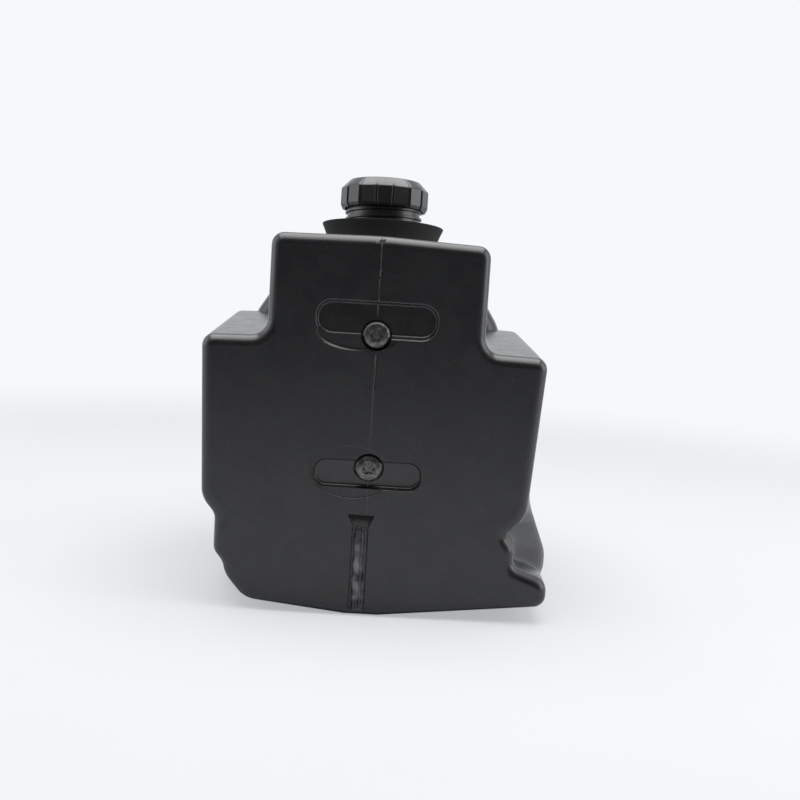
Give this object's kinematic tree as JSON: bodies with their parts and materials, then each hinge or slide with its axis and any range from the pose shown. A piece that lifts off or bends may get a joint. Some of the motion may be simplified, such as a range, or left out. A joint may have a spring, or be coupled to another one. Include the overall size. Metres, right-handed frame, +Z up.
{
  "type": "hydraulic reservoir",
  "caption": "Moulded black plastic hydraulic oil tank with stepped shoulders, a V bottom, bolted pockets, a collared filler neck with a breather screw cap, and ports on its back.",
  "frame": {"origin": "on the flat of the keel, under the middle of the main body", "axes": "+Z up, -Y out of the bolted front face, X = 0 is the mould's parting plane"},
  "size_m": [0.2956, 0.336, 0.3575],
  "materials": {
    "tank_plastic": "satin black moulded polyethylene",
    "cap_plastic": "smooth black plastic",
    "rubber": "matt black rubber",
    "black_steel": "blackened steel",
    "brass": "plain machined brass",
    "zinc_steel": "zinc plated steel",
    "nylon": "natural white nylon",
    "foam": "open grey filter foam",
    "lens": "clear window"
  },
  "bodies": {
    "tank": {"tank_shell": "tank_plastic", "neck_collar": "rubber", "suction_seal": "rubber", "return_seal": "rubber", "drain_seal": "rubber", "sight_seal": "rubber", "upper_screw": "black_steel", "lower_screw": "black_steel", "upper_insert": "brass", "lower_insert": "brass", "suction_insert": "brass", "return_insert": "brass", "drain_insert": "brass", "sight_insert": "brass", "suction_fitting": "zinc_steel", "suction_strainer": "zinc_steel", "return_fitting": "zinc_steel", "return_tube": "zinc_steel", "drain_plug": "zinc_steel", "sight_body": "zinc_steel", "filler_strainer": "nylon", "sight_lens": "lens"},
    "gasket": {"cap_gasket": "rubber"},
    "cap": {"filler_cap": "cap_plastic", "breather_plate": "nylon", "breather_filter": "foam", "relief_spring": "zinc_steel"},
    "relief": {"relief_valve": "brass"}
  },
  "joints": [
    {"name": "cap_rise", "type": "slide", "parent": "tank", "child": "gasket", "axis": [0, 0.1478, 0.989], "range_m": [0, 0.0121]},
    {"name": "cap_turn", "type": "hinge", "parent": "gasket", "child": "cap", "pos_m": [0, -0.025, 0.29506], "axis": [0, 0.1478, 0.989], "range_deg": [0, 720]},
    {"name": "relief_lift", "type": "slide", "parent": "cap", "child": "relief", "axis": [0, 0.1478, 0.989], "range_m": [0, 0.003], "stiffness_N_per_m": 400, "springref_m": -0.002, "deforming": ["relief_spring"]}
  ],
  "couplings": [
    {"joint": "cap_rise", "follows": "cap_turn", "m_per_rad": 0.00095493}
  ]
}
